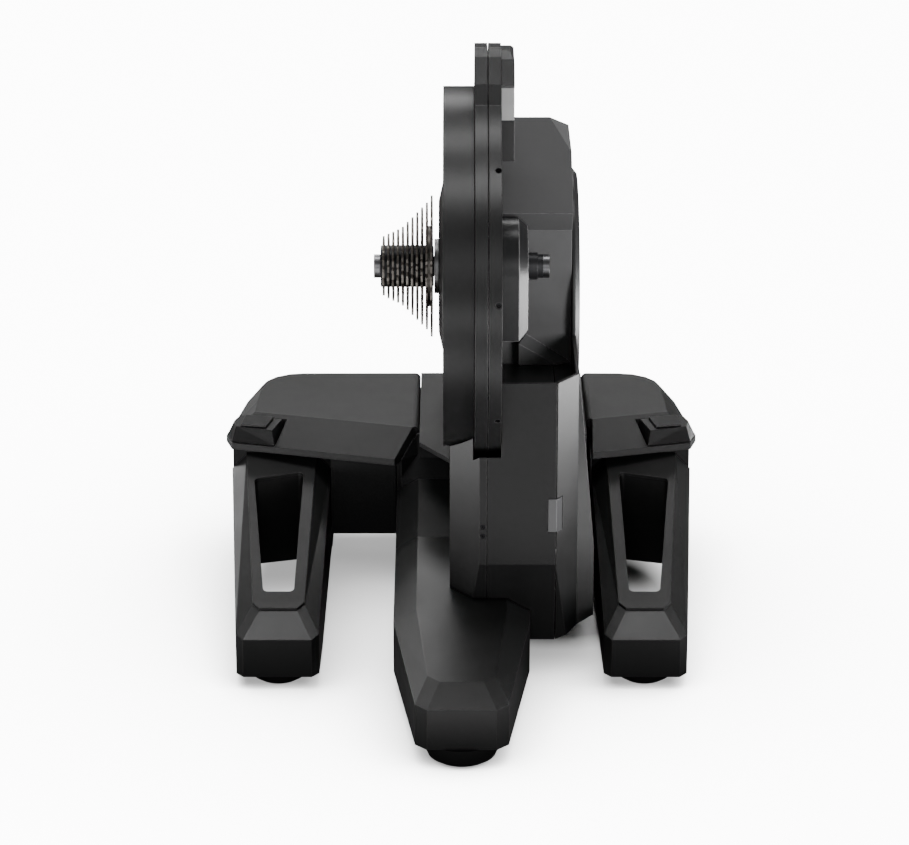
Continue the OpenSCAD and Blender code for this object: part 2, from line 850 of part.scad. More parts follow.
// Plan of a sprocket with t teeth
module sprocket_outline(t) {
  pitch_r = chain_pitch / 2 / sin(180 / t);
  root = pitch_r - roller_r;
  tip = pitch_r + 2.9;
  step = 360 / t;
  difference() {
    polygon([for (i = [0:t - 1], p = [[-0.27, root], [-0.1, tip], [0.1, tip], [0.27, root]])
      p[1] * [cos((i + p[0]) * step), sin((i + p[0]) * step)]]);
    circle(freehub_d / 2 + run_gap);
  }
}

module sprocket(i) {
  x = first_sprocket + i * sprocket_pitch;
  translate([x - sprocket_t / 2, 0, axle_z]) rotate([0, 90, 0]) rotate(i * 7)
    linear_extrude(sprocket_t) sprocket_outline(teeth[i]);
}

module small_sprockets() {
  color("#8f867c") for (i = [0:small_count - 1]) sprocket(i);
}

module large_sprockets() {
  n = len(teeth) - 1;
  color("#8f867c") for (i = [small_count:n]) sprocket(i);
  color("#1c1c1d") ring(last_sprocket - sprocket_pitch + sprocket_t / 2, last_sprocket - sprocket_t / 2,
    carrier_d / 2, sprocket_spacer_d / 2 + run_gap);
}

module sprocket_spacers() {
  color("#141414") for (i = [0:len(teeth) - 2]) {
    x = first_sprocket + i * sprocket_pitch;
    ring(x + sprocket_t / 2, x + sprocket_pitch - sprocket_t / 2, sprocket_spacer_d / 2, freehub_d / 2 + run_gap);
  }
}

module lockring() {
  color("#1a1a1b") difference() {
    ring(body_gap - tube_end, freehub_start, 17.5, 12);
    for (i = [0:11]) rotate_x(i * 30) rod(-tube_end - 1, freehub_start + 1, 1.3, 0, axle_z + 12);
  }
}

module flywheel() {
  color("#55565a") on_shaft(fly_left) difference() {
    cylinder(h = fly_w, r = fly_d / 2);
    translate([0, 0, fly_web]) cylinder(h = fly_w, r = fly_bore_d / 2);
    translate([0, 0, -1]) cylinder(h = 20, r = shaft_r + press_gap);
  }
}

module magnet_ring() {
  color("#3b3b45") on_shaft(fly_left + fly_web + 2) difference() {
    cylinder(h = fly_w - 12, r = fly_bore_d / 2 - press_gap);
    translate([0, 0, -1]) cylinder(h = fly_w, r = fly_bore_d / 2 - 3);
  }
}

module flywheel_shaft() {
  color("#9fa0a3") rod(pulley_left - 1, fly_right + 3, shaft_r, fly_back, fly_z);
}

module belt_pinion() {
  color("#6a6b6d") difference() {
    ring(pulley_left, pulley_right, pinion_r, shaft_r + press_gap, fly_back, fly_z);
    for (k = [-2:2]) ring(pulley_x + k * 2.5 - 0.5, pulley_x + k * 2.5 + 0.5, pinion_r + 1, pinion_r - 1.2,
      fly_back, fly_z);
  }
}

module idler_roller() {
  color("#8b8c8e") ring(pulley_left + 1, pulley_right - 1, idler_r, 3 + run_gap, idler_at[0], axle_z + idler_at[1]);
}

// Distance behind the axle of the lip's front edge, and of the flat top's front edge, at a distance x
function lip_front(x) = lip_start + front_sweep * (x - 59.2);
function flat_front(x) = flat_start + front_sweep * (x - 38.9);

// One ring of the wing's lip, drawn on the +x side, with its inner front end cut back by a slant
function lip_ring(hinge, slant, z) = let (
  x = half_w - 14, r = corner_r, far = rear_y - 2, front = lip_front(hinge + slant)) [
  [hinge + slant, front, z], [half_w - 6, lip_front(half_w - 6), z], [half_w, 147, z], [half_w - 8, 195, z],
  [x, far - r, z], [x - 0.134 * r, far - r / 2, z], [x - r / 2, far - 0.134 * r, z], [x - r, far, z],
  [x - r - 14, far + 0.3, z], [hinge, rear_y, z], [hinge, 180, z], [hinge, front + max(1.88 * slant, 20), z]];

// The ring round the wing's flat top
function flat_ring(hinge, z) = let (far = rear_y - 2, r = corner_r, front = flat_front(hinge + 1)) [
  [hinge + 1, front, z], [half_w - 25, flat_front(half_w - 25), z], [half_w - 25, 165, z], [half_w - 26, 195, z],
  [half_w - 28, far - r, z], [half_w - 32, far - 0.6 * r, z], [half_w - 40, far - 0.27 * r, z],
  [half_w - 52, far - 1.5, z], [half_w - 65, far + 1, z], [hinge, rear_y - 0.5, z], [hinge, 180, z],
  [hinge, front + 1, z]];

// The wing's cover. Below its top it leaves room for the hinge, the latch block and the beam's lugs
module wing_cover(hinge, side, slant) {
  nose_front = flat_front(hinge) + 2.5;
  inside = nose_front + 6;
  length = rear_y - 4 - inside;
  reach = max(side + 8.6, hinge + 13) - hinge;
  difference() {
    union() {
      loft([lip_ring(hinge, slant, lip_bottom), lip_ring(hinge, slant, lip_z), flat_ring(hinge, top_z)]);
      translate([hinge, rear_y, hinge_z]) rotate([90, 0, 0]) cylinder(h = rear_y - nose_front, r = nose_r);
    }
    plan_slab(lip_bottom - 1, top_z - cover_skin) polygon([[hinge + reach, 172], [half_w - 32, 172],
      [half_w - 34, 232], [half_w - 48, 252], [hinge + reach, 256]]);
    translate([hinge, inside + length, hinge_z]) rotate([90, 0, 0]) cylinder(h = length, r = knuckle_r + 0.3);
    translate([hinge - 10, inside, lip_bottom - 1]) cube([10 + reach, length, hinge_z - lip_bottom + 1]);
    translate([hinge, inside, hinge_z - 1]) cube([reach, length, top_z - cover_skin - hinge_z + 1]);
    plan_slab(lip_z, top_z + 9) polygon([[half_w - 54.9, 150.4], [half_w - 43.6, 110], [half_w + 8, 110],
      [half_w + 8, 166.7]]);
  }
}

// The block on the wing's front outer corner, which holds the release button
module latch_block() {
  difference() {
    loft([
      [[half_w - 44.9, 117.6, latch_bottom], [half_w - 6, 129.2, latch_bottom], [half_w - 0.7, 147.5, latch_bottom],
        [half_w - 3.7, 163, latch_bottom], [half_w - 29, 156.6, latch_bottom], [half_w - 54.1, 150, latch_bottom]],
      [[half_w - 42.5, 121.3, latch_top], [half_w - 9.8, 132, latch_top], [half_w - 7.2, 147, latch_top],
        [half_w - 11.5, 161, latch_top], [half_w - 29, 156.3, latch_top], [half_w - 50, 150.9, latch_top]]
    ]);
    button_place() translate([0, 0, -pocket_d]) linear_extrude(20) offset(delta = 0.4) button_outline();
  }
}

module button_outline() {
  w = button_w / 2;
  d = button_d / 2;
  lean = 2.7;
  polygon([[lean - w, -d - lean], [w + lean / 2, lean - d], [w - lean / 2, d + lean], [-w - lean, d - lean]]);
}

// Places what is inside at the top of a release button
module button_place() {
  translate([half_w - 27.8, 141.7, latch_top + button_proud]) children();
}

module release_button() {
  button_place() translate([0, 0, -button_h]) linear_extrude(button_h) button_outline();
}

module button_spring() {
  button_place() translate([0, 0, -pocket_d]) difference() {
    cylinder(h = pocket_d - button_h - 0.2, r = 5);
    translate([0, 0, -1]) cylinder(h = 20, r = 3.6);
  }
}

// The wing's box beam, which carries the side leg
module wing_beam(hinge, side) {
  rail = leg_in - 4;
  root = leg_root + 0.3;
  difference() {
    union() {
      plan_slab(beam_bottom, lip_bottom - 0.3) {
        translate([side, casting_front]) square([rail - side, 158]);
        translate([side, root]) square([rail - side + 1, 130]);
      }
      plan_slab(rail_bottom, lip_bottom - 0.3) polygon([[rail, root], [half_w - 7, root], [half_w - 7, 150],
        [half_w - 14, 175], [half_w - 22, 225], [half_w - 52, 263], [rail, 263]]);
      for (y = [lug_start - lug_gap - wing_lug, lug_end + lug_gap]) {
        translate([hinge, y + wing_lug, hinge_z]) rotate([90, 0, 0]) cylinder(h = wing_lug, r = knuckle_r);
        translate([hinge, y, hinge_z - 3]) cube([max(side + 4 - hinge, 3), wing_lug, 4.7]);
        translate([side, y, lip_bottom - 2]) cube([8, wing_lug, hinge_z - lip_bottom + 2]);
      }
    }
    plan_slab(0, lip_bottom - 6) {
      polygon([[rail + wing_wall, root + wing_wall], [half_w - 7 - wing_wall, root + wing_wall],
        [half_w - 7 - wing_wall, 148], [half_w - 18 - wing_wall, 175], [half_w - 26 - wing_wall, 222],
        [half_w - 54, 259 - wing_wall], [rail + wing_wall, 259 - wing_wall]]);
      if (rail - side > 20) {
        translate([side + wing_wall, casting_front + wing_wall])
          square([rail - side - 2 * wing_wall, 158 - 2 * wing_wall]);
      }
    }
    translate([hinge, 200, hinge_z]) rotate([90, 0, 0]) cylinder(h = 200, r = pin_r + run_gap, center = true);
  }
}

// One ring of a side leg: inset w, toe set back by t, heights at the toe and the root
function leg_ring(w, t, z_toe, z_root) = [
  [leg_in + w + 6, t - side_toe, z_toe], [leg_in + leg_toe_w - w - 6, t - side_toe, z_toe],
  [leg_in + leg_toe_w - w + 0.3, t - side_toe + 8, z_toe + (z_root - z_toe) * 0.035],
  [half_w - 6 - w, leg_root, z_root], [rail_gap + w, leg_root, z_root],
  [leg_in + w - 0.2, t - side_toe + 8, z_toe + (z_root - z_toe) * 0.035]];

rail_gap = leg_in - 3.6;
panel_t = 2.5;

module leg_block(w = 0, drop = 0, bottom = side_clear) {
  loft([
    leg_ring(w, w, bottom, bottom),
    leg_ring(w, w, 46 - drop, 110 - drop),
    leg_ring(13 + w / 2, 29, 63 - panel_t - drop, 125.3 - panel_t - drop)
  ]);
}

// Plan of the window through a side leg, grown by g
module leg_window(g = 0) {
  offset(r = 5 + g) offset(delta = -5) polygon([[leg_in + 21.9, -64], [leg_in + leg_toe_w - 20.8, -64],
    [half_w - 27.2, 89], [leg_in + 19.3, 99]]);
}

module leg() {
  difference() {
    leg_block();
    difference() {
      leg_block(wing_wall, wing_wall, side_clear - 6);
      plan_slab(0, 140) leg_window(3);
      translate([leg_in + leg_toe_w / 2, side_foot_d / 2 - side_toe + 5, 0]) cylinder(h = 140, r = side_foot_d / 2 - 6);
    }
    plan_slab(0, 140) leg_window();
    side_slab(0, 300) polygon([[-52, 0], [leg_root + 5, 0], [leg_root + 5, rail_bottom], [casting_front, rail_bottom],
      [-52, side_clear]]);
  }
}

module leg_panel() {
  difference() {
    loft([
      leg_ring(13, 29, 63 - panel_t, 125.3 - panel_t),
      leg_ring(13, 29, 63, 125.3)
    ]);
    plan_slab(0, 140) leg_window(-0.6);
  }
}

module side_feet() {
  translate([leg_in + leg_toe_w / 2, side_foot_d / 2 - side_toe + 5, 0]) foot(side_foot_d, side_clear);
  translate([(leg_in + half_w - 11) / 2 - 6.2, 232, 0]) {
    foot(side_foot_d, rail_bottom);
    cylinder(h = lip_bottom - 6, r = 9);
  }
}

// Mirrors what is inside to the left
module on_left() {
  mirror([1, 0, 0]) children();
}

module left_wing_beam() {
  color("#1e1e1f") on_left() wing_beam(hinge_left, beam_side_left);
}
module left_wing_cover() {
  color("#454546") on_left() wing_cover(hinge_left, beam_side_left, 16.7);
}
module left_leg() {
  color("#2c2c2d") on_left() leg();
}
module left_leg_panel() {
  color("#3a3a3b") on_left() leg_panel();
}
module left_feet() {
  color("#151515") on_left() side_feet();
}
module left_latch_block() {
  color("#202021") on_left() latch_block();
}
module left_button() {
  color("#3d3d3e") on_left() release_button();
}
module left_button_spring() {
  color("#a5a5a7") on_left() button_spring();
}
module right_wing_beam() {
  color("#1e1e1f") wing_beam(hinge_right, beam_side_right);
}
module right_wing_cover() {
  color("#454546") wing_cover(hinge_right, beam_side_right, 0);
}
module right_leg() {
  color("#2c2c2d") leg();
}
module right_leg_panel() {
  color("#3a3a3b") leg_panel();
}
module right_feet() {
  color("#151515") side_feet();
}
module right_latch_block() {
  color("#202021") latch_block();
}
module right_button() {
  color("#3d3d3e") release_button();
}
module right_button_spring() {
  color("#a5a5a7") button_spring();
}

centre_leg();
front_foot();
base_casting();
base_top_plate();
frame_plate();
body_left_cover();
body_front_cover();
body_side_cover();
status_window();
spine_left_shell();
spine_right_shell();
handle_inlay();
pulley_cover();
pulley_cover_dome();
flywheel_housing();
flywheel_cover();
dropout_boss();
axle_tube();
drive_end_cap();
non_drive_end_cap();
non_drive_spacer();
pulley_bearings();
freehub_bearings();
flywheel_bearings();
drive_belt();
tension_arm();
circuit_board();
power_inlet();
brake_stator();
spine_screws();
body_screws();
hinge_pins();
drive_pulley();
freehub_body();
small_sprockets();
large_sprockets();
sprocket_spacers();
lockring();
flywheel();
flywheel_shaft();
belt_pinion();
magnet_ring();
idler_roller();
left_wing_beam();
left_wing_cover();
left_leg();
left_leg_panel();
left_feet();
left_latch_block();
left_button();
left_button_spring();
right_wing_beam();
right_wing_cover();
right_leg();
right_leg_panel();
right_feet();
right_latch_block();
right_button();
right_button_spring();
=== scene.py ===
# %% [markdown]
# # Dressing a direct drive bike trainer
#
# The trainer takes the place of a bicycle's rear wheel. Its shape comes ready made from a CAD
# program, one mesh for each real piece, and this lesson gives the pieces their finishes and
# rounded edges, a camera and studio light. Everything is in metres: +X runs along the axle to the
# side away from the chain, +Y to the rear and +Z up, and the floor is at zero.

import math

import bmesh
import bpy
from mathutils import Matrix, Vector

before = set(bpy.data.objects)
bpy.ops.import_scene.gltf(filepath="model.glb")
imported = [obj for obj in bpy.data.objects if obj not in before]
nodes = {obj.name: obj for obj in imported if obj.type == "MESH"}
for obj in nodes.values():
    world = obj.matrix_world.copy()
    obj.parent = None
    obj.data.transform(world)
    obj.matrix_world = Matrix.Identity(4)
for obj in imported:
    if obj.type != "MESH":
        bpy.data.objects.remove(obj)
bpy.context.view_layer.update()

# %% [markdown]
# ## The camera
#
# The photograph looks at the trainer's nose from a little above, through a long lens, so that the
# legs hardly converge. A camera 3 m away and 20 degrees up, with a lens of about 139 mm, gives the
# same frame. It could be aimed with a tracking constraint, but one angle is easier to read.

# %% Camera
PICTURE_WIDTH = 909  # pixels of the photograph
LENS_TO_PICTURE = 3498  # focal length in the same pixels
SENSOR_WIDTH = 36.0  # mm
AIM = Vector((-0.006, 0.0, 0.1995))
DISTANCE = 3.0
ELEVATION = math.radians(20)

camera = bpy.data.objects.new("camera", bpy.data.cameras.new("camera"))
bpy.context.scene.collection.objects.link(camera)
camera.data.sensor_width = SENSOR_WIDTH
camera.data.lens = LENS_TO_PICTURE * SENSOR_WIDTH / PICTURE_WIDTH
camera.location = AIM + DISTANCE * Vector((0, -math.cos(ELEVATION), math.sin(ELEVATION)))
camera.rotation_euler = (math.pi / 2 - ELEVATION, 0, 0)
bpy.context.scene.camera = camera
print("camera at", tuple(round(v, 3) for v in camera.location), "lens", round(camera.data.lens, 1))

# %% [markdown]
# ## Small helpers for shader trees
#
# A finish is a tree of nodes. Wiring each one by hand takes a line for every socket. With these
# helpers, a node and all that it takes is one call: an input is given either a plain value or the
# output of another node, which is then joined to it.


# %% Helpers for shader trees
def feed(tree, node, inputs):
    """Fills a node's inputs: an output socket is joined, anything else is a plain value."""
    for name, value in inputs.items():
        if isinstance(value, bpy.types.NodeSocket):
            tree.links.new(value, node.inputs[name])
        else:
            node.inputs[name].default_value = value


def add_node(tree, kind, inputs=None, **settings):
    node = tree.nodes.new(kind)
    for name, value in settings.items():
        setattr(node, name, value)
    feed(tree, node, inputs or {})
    return node


def math_node(tree, operation, first, second, clamp=False):
    node = add_node(tree, "ShaderNodeMath", {0: first, 1: second}, operation=operation)
    node.use_clamp = clamp
    return node.outputs[0]


def new_group(name, inputs, outputs):
    """A shader node group: each input has a name, kind and value, each output a name and kind."""
    group = bpy.data.node_groups.new(name, "ShaderNodeTree")
    for label, kind, value in inputs:
        socket_type = "NodeSocket" + kind
        socket = group.interface.new_socket(label, in_out="INPUT", socket_type=socket_type)
        socket.default_value = value
    for label, kind in outputs:
        group.interface.new_socket(label, in_out="OUTPUT", socket_type="NodeSocket" + kind)
    return group, group.nodes.new("NodeGroupInput").outputs, group.nodes.new("NodeGroupOutput")


# %% [markdown]
# ## Effect 1: moulded grain
#
# Plastic covers and painted castings come out of a mould with a fine leathery texture, and no
# large panel is quite even in shade. A bitmap would need UV maps, which CAD meshes lack. Noise in
# object space needs none and keeps its real size: about half a millimetre for most of the grain,
# and hand-sized clouds for the unevenness.

# %% Moulded grain group
grain_group, given, result = new_group(
    "moulded_grain",
    [("Colour", "Color", (0.03, 0.03, 0.03, 1)), ("Roughness", "Float", 0.45),
     ("Grain Size", "Float", 0.0004), ("Unevenness", "Float", 0.12)],
    [("Colour", "Color"), ("Roughness", "Float"), ("Height", "Float")])
place = add_node(grain_group, "ShaderNodeTexCoord").outputs["Object"]
spark = add_node(grain_group, "ShaderNodeTexNoise", {
    "Vector": place, "Scale": math_node(grain_group, "DIVIDE", 1.0, given["Grain Size"]),
    "Detail": 2.0, "Roughness": 0.6})
clouds = add_node(grain_group, "ShaderNodeTexNoise", {
    "Vector": place, "Scale": 14.0, "Detail": 4.0, "Roughness": 0.55})
sway = add_node(grain_group, "ShaderNodeMapRange", {
    "Value": clouds.outputs["Fac"], "From Min": 0.3, "From Max": 0.7,
    "To Min": math_node(grain_group, "SUBTRACT", 1.0, given["Unevenness"]),
    "To Max": math_node(grain_group, "ADD", 1.0, given["Unevenness"])}).outputs["Result"]
shade = add_node(grain_group, "ShaderNodeVectorMath", {0: given["Colour"], "Scale": sway},
                 operation="SCALE")
gloss = math_node(grain_group, "MULTIPLY", given["Roughness"], sway, clamp=True)
feed(grain_group, result, {
    "Colour": shade.outputs["Vector"], "Roughness": gloss, "Height": spark.outputs["Fac"]})
print("group", grain_group.name, "with", len(grain_group.nodes), "nodes")

# %% [markdown]
# ## Effect 2: edges that have been handled
#
# On dark covers the eye reads the form from thin light lines along the edges. They are partly
# wear, where the mould's corner is rounded and rubbed smoother, and partly a painted highlight: a
# lighter colour that stands in for the light the rounded corners catch. Painting them by hand
# would take a mask for each piece.
# The bevel node finds them instead: it looks at the normals nearby, and where they differ from the
# surface's own normal, there is an edge. Noise breaks the line up a little.

# %% Edge mask group
edge_group, given, result = new_group(
    "worn_and_highlit_edges",
    [("Reach", "Float", 0.0012), ("Strength", "Float", 1.0)],
    [("Mask", "Float"), ("Normal", "Vector")])
rounded = add_node(edge_group, "ShaderNodeBevel", {"Radius": given["Reach"]}, samples=4)
surface = add_node(edge_group, "ShaderNodeNewGeometry")
likeness = add_node(edge_group, "ShaderNodeVectorMath", {
    0: rounded.outputs["Normal"], 1: surface.outputs["Normal"]}, operation="DOT_PRODUCT")
# The mask marks the edges that get a lighter colour: partly wear, partly a painted highlight.
line = add_node(edge_group, "ShaderNodeMapRange", {
    "Value": likeness.outputs["Value"], "From Min": 0.995, "From Max": 0.85,
    "To Min": 0.0, "To Max": 1.0}).outputs["Result"]
place = add_node(edge_group, "ShaderNodeTexCoord").outputs["Object"]
breakup_noise = add_node(edge_group, "ShaderNodeTexNoise", {"Vector": place, "Scale": 90.0, "Detail": 3.0})
broken = add_node(edge_group, "ShaderNodeMapRange", {
    "Value": breakup_noise.outputs["Fac"], "From Min": 0.35, "From Max": 0.65,
    "To Min": 0.55, "To Max": 1.0}).outputs["Result"]
product = math_node(edge_group, "MULTIPLY", line, broken)
feed(edge_group, result, {
    "Mask": math_node(edge_group, "MULTIPLY", product, given["Strength"], clamp=True),
    "Normal": rounded.outputs["Normal"]})
print("group", edge_group.name, "with", len(edge_group.nodes), "nodes")

# %% [markdown]
# ## Effect 3: the marks of a lathe
#
# End caps, pulleys and sprockets are turned or ground, which leaves fine rings round their axis.
# The distance from that axis, fed to noise in one dimension, draws rings of uneven depth at any
# size. Every round metal piece here turns about a line along X, so only Y and Z count, and the
# middle of a round piece's box says where that line runs. X is added to the distance, so that the
# rings go on along a rim.


# %% Axes of the round pieces
def axis_of(name):
    """Y and Z of the axis of a round piece."""
    corners = [Vector(corner) for corner in nodes[name].bound_box]
    middle = sum(corners, Vector()) / len(corners)
    return middle.y, middle.z


AXLE = axis_of("axle_tube")
FLYWHEEL_AXIS = axis_of("flywheel")
print("axle at", AXLE, "flywheel's axis at", FLYWHEEL_AXIS)

# %% Turned rings group
ring_group, given, result = new_group(
    "turned_rings",
    [("Axis Y", "Float", AXLE[0]), ("Axis Z", "Float", AXLE[1]), ("Pitch", "Float", 0.0004)],
    [("Height", "Float"), ("Shade", "Float")])
place = add_node(ring_group, "ShaderNodeTexCoord").outputs["Object"]
split = add_node(ring_group, "ShaderNodeSeparateXYZ", {0: place}).outputs
centre = add_node(ring_group, "ShaderNodeCombineXYZ", {"Y": given["Axis Y"], "Z": given["Axis Z"]})
here = add_node(ring_group, "ShaderNodeCombineXYZ", {"Y": split["Y"], "Z": split["Z"]})
reach = add_node(ring_group, "ShaderNodeVectorMath", {0: here.outputs[0], 1: centre.outputs[0]},
                 operation="DISTANCE")
along = math_node(ring_group, "ADD", reach.outputs["Value"], split["X"])
rings = add_node(ring_group, "ShaderNodeTexNoise", {
    "W": math_node(ring_group, "DIVIDE", along, given["Pitch"]), "Scale": 1.0, "Detail": 3.0},
    noise_dimensions="1D").outputs["Fac"]
tone = add_node(ring_group, "ShaderNodeMapRange", {
    "Value": rings, "From Min": 0.3, "From Max": 0.7, "To Min": 0.88, "To Max": 1.12})
feed(ring_group, result, {"Height": rings, "Shade": tone.outputs["Result"]})
print("group", ring_group.name, "with", len(ring_group.nodes), "nodes")

# %% [markdown]
# ## What all finishes share
#
# Lacquer, plastic and metal differ in colour, gloss and texture, but each has its edges lightened,
# part wear and part painted highlight, and its texture turned into relief in the same way. Both
# could be written out in every material.
# One function keeps them alike.


# %% Helpers for finishes
def new_material(name):
    material = bpy.data.materials.new(name)
    material.use_nodes = True
    return material, material.node_tree, material.node_tree.nodes["Principled BSDF"]


def complete(tree, shader, colour, edge_colour, roughness, height, depth, edge, reach):
    """Joins colour, roughness and relief to the shader, with a lighter colour along the edges that
    is part wear and part painted highlight.
    """
    edges = add_node(tree, "ShaderNodeGroup", {"Reach": reach, "Strength": edge},
                     node_tree=edge_group)
    # The edge mask blends in the lighter edge colour: wear and a painted highlight.
    blend = add_node(tree, "ShaderNodeMix", data_type="RGBA")
    feed(tree, blend, {"Factor": edges.outputs["Mask"], "A": colour, "B": (*edge_colour, 1)})
    bump = add_node(tree, "ShaderNodeBump", {
        "Strength": 1.0, "Distance": depth, "Height": height, "Normal": edges.outputs["Normal"]})
    feed(tree, shader, {"Base Color": blend.outputs["Result"], "Roughness": roughness,
                        "Normal": bump.outputs["Normal"]})


# %% [markdown]
# ## The moulded and painted finishes
#
# Covers, castings and rubber differ in shade, gloss and depth of grain, but are made alike, so one
# function builds them all. The groups give the values that vary over the surface. What is the same
# all over, such as the coat, is set on the shader itself. Edges get a lighter colour, part wear
# and part painted highlight. The boss round the non-drive dropout gets a painted highlight of its
# own: a light grey rim colour that stands in for the light its rounded edge catches, because in
# the photograph it is the brightest line of all.


# %% Moulded finishes
def moulded(name, colour, roughness, grain=0.0004, depth=0.00004, edge=0.5, reach=0.0011, coat=0.0,
            specular=0.5, edge_colour=None):
    material, tree, shader = new_material(name)
    feed(tree, shader, {
        "Specular IOR Level": specular, "Coat Weight": coat, "Coat Roughness": 0.12})
    texture = add_node(tree, "ShaderNodeGroup", node_tree=grain_group)
    feed(tree, texture, {"Colour": (*colour, 1), "Roughness": roughness, "Grain Size": grain})
    # Unless one is given, the edge colour is a lighter copy of the base colour: part wear, part
    # painted highlight.
    lighter = edge_colour or [3.0 * c + 0.05 for c in colour]
    complete(tree, shader, texture.outputs["Colour"], [min(1.0, c) for c in lighter],
             texture.outputs["Roughness"], texture.outputs["Height"], depth, edge, reach)
    return material


satin_black = moulded("satin black cover", (0.014, 0.014, 0.0145), 0.35)
spine_black = moulded("spine shell", (0.017, 0.017, 0.0175), 0.33, edge=0.8)
wing_grey = moulded("wing lacquer", (0.027, 0.027, 0.0275), 0.44, grain=0.0006)
leg_black = moulded("leg lacquer", (0.027, 0.027, 0.0275), 0.36, grain=0.0006, edge=0.7)
casting_black = moulded("casting", (0.009, 0.009, 0.0095), 0.6, grain=0.0012, depth=0.00012,
                        edge=0.3)
housing_grey = moulded("flywheel housing", (0.06, 0.06, 0.061), 0.55, specular=0.3)
# Painted highlight: a light grey edge colour along the boss's rounded rim.
boss_black = moulded("dropout boss", (0.009, 0.009, 0.0095), 0.3, edge=1.0, reach=0.001,
                     edge_colour=(0.5, 0.5, 0.5))
gloss_black = moulded("gloss black cover", (0.008, 0.008, 0.009), 0.16, grain=0.003,
                      depth=0.00001, coat=0.6)
inlay_grey = moulded("handle inlay", (0.62, 0.62, 0.62), 0.4, edge=0.3)
lens_grey = moulded("window lens", (0.135, 0.135, 0.14), 0.2, grain=0.003, depth=0.00001, coat=0.5)
foot_rubber = moulded("foot rubber", (0.01, 0.01, 0.01), 0.78, grain=0.0009, depth=0.00015,
                      edge=0.2)
button_black = moulded("button", (0.02, 0.02, 0.021), 0.3, edge=0.9)
print("moulded finishes:", len(bpy.data.materials))

# %% [markdown]
# ## The metal finishes
#
# The same recipe for metal takes its rings from the lathe group. The sprockets are nickel-plated
# steel with a warm grey cast. Their roughness follows the rings, so that highlights spread out
# along them as they do on ground steel.


# %% Metal finishes
def turned(name, colour, roughness, axis=AXLE, pitch=0.0004, metallic=1.0, edge=0.4):
    material, tree, shader = new_material(name)
    feed(tree, shader, {"Metallic": metallic})
    lathe = add_node(tree, "ShaderNodeGroup", node_tree=ring_group)
    feed(tree, lathe, {"Axis Y": axis[0], "Axis Z": axis[1], "Pitch": pitch})
    tone = add_node(tree, "ShaderNodeVectorMath", {0: colour, "Scale": lathe.outputs["Shade"]},
                    operation="SCALE")
    # Edges get a lighter copy of the metal's colour: part wear, part painted highlight.
    complete(tree, shader, tone.outputs["Vector"], [min(1.0, 1.5 * c) for c in colour],
             math_node(tree, "MULTIPLY", lathe.outputs["Shade"], roughness),
             lathe.outputs["Height"], depth=0.00003, edge=edge, reach=0.0005)
    return material


sprocket_steel = turned("sprocket steel", (0.27, 0.25, 0.23), 0.36, edge=0.1)
cap_grey = turned("grey end cap", (0.36, 0.36, 0.37), 0.36)
cap_light = turned("light end cap", (0.26, 0.26, 0.27), 0.34)
black_anodised = turned("black anodised", (0.025, 0.025, 0.027), 0.38, metallic=0.6)
black_steel = turned("black steel", (0.03, 0.03, 0.032), 0.4, metallic=0.8)
bright_steel = turned("bright steel", (0.55, 0.55, 0.56), 0.3)
raw_aluminium = turned("raw aluminium", (0.6, 0.6, 0.61), 0.42)
flywheel_steel = turned("flywheel steel", (0.3, 0.3, 0.32), 0.38, FLYWHEEL_AXIS, pitch=0.0008)
magnet_nickel = turned("magnet nickel", (0.5, 0.49, 0.46), 0.3, FLYWHEEL_AXIS)
copper = turned("lacquered copper", (0.55, 0.25, 0.12), 0.32, FLYWHEEL_AXIS, pitch=0.0007)
print("all finishes:", len(bpy.data.materials))

# %% [markdown]
# ## Dressing the CAD pieces
#
# Each piece could be given its material on its own, but a list for each finish is shorter, and
# shows at a glance which pieces share one. The meshes themselves stay as they are.


# %% Dress the pieces
def both(*names):
    return [side + "_" + name for side in ("left", "right") for name in names]


def dress(material, *names):
    for name in names:
        piece = nodes[name]
        if not piece.material_slots:
            piece.data.materials.append(material)
        for spot in piece.material_slots:
            spot.material = material


dress(satin_black, "body_left_cover", "body_front_cover", "body_side_cover", "pulley_cover",
      "pulley_cover_dome", "flywheel_cover", *both("latch_block"))
dress(spine_black, "spine_left_shell", "spine_right_shell")
dress(wing_grey, "base_top_plate", *both("wing_cover"))
dress(leg_black, "centre_leg", *both("leg", "leg_panel"))
dress(casting_black, "base_casting", *both("wing_beam"))
dress(housing_grey, "flywheel_housing")
dress(boss_black, "dropout_boss")
dress(gloss_black, "power_inlet", "circuit_board")
dress(lens_grey, "status_window")
dress(inlay_grey, "handle_inlay")
dress(foot_rubber, "front_foot", "drive_belt", *both("feet"))
dress(button_black, *both("button"))
dress(sprocket_steel, "small_sprockets", "large_sprockets")
dress(cap_grey, "drive_end_cap")
dress(cap_light, "non_drive_end_cap")
dress(black_anodised, "non_drive_spacer", "sprocket_spacers", "freehub_body")
dress(black_steel, "lockring", "spine_screws", "body_screws")
dress(bright_steel, "pulley_bearings", "freehub_bearings", "flywheel_bearings", "tension_arm",
      "hinge_pins", "flywheel_shaft", "belt_pinion", "idler_roller", *both("button_spring"))
dress(raw_aluminium, "axle_tube", "frame_plate", "drive_pulley")
dress(flywheel_steel, "flywheel")
dress(magnet_nickel, "magnet_ring")
dress(copper, "brake_stator")
print("pieces dressed:", sum(bool(n.material_slots) for n in nodes.values()))

# %% [markdown]
# ## Rounded edges
#
# The CAD pieces have knife-sharp edges, which catch no light. A bevel modifier limited by angle
# rounds only the real corners and leaves the small steps of curved faces alone. It works on the
# way to the render, so the CAD mesh underneath keeps every vertex. The widest roundings are on the
# castings, the finest on shells that meet at a seam.

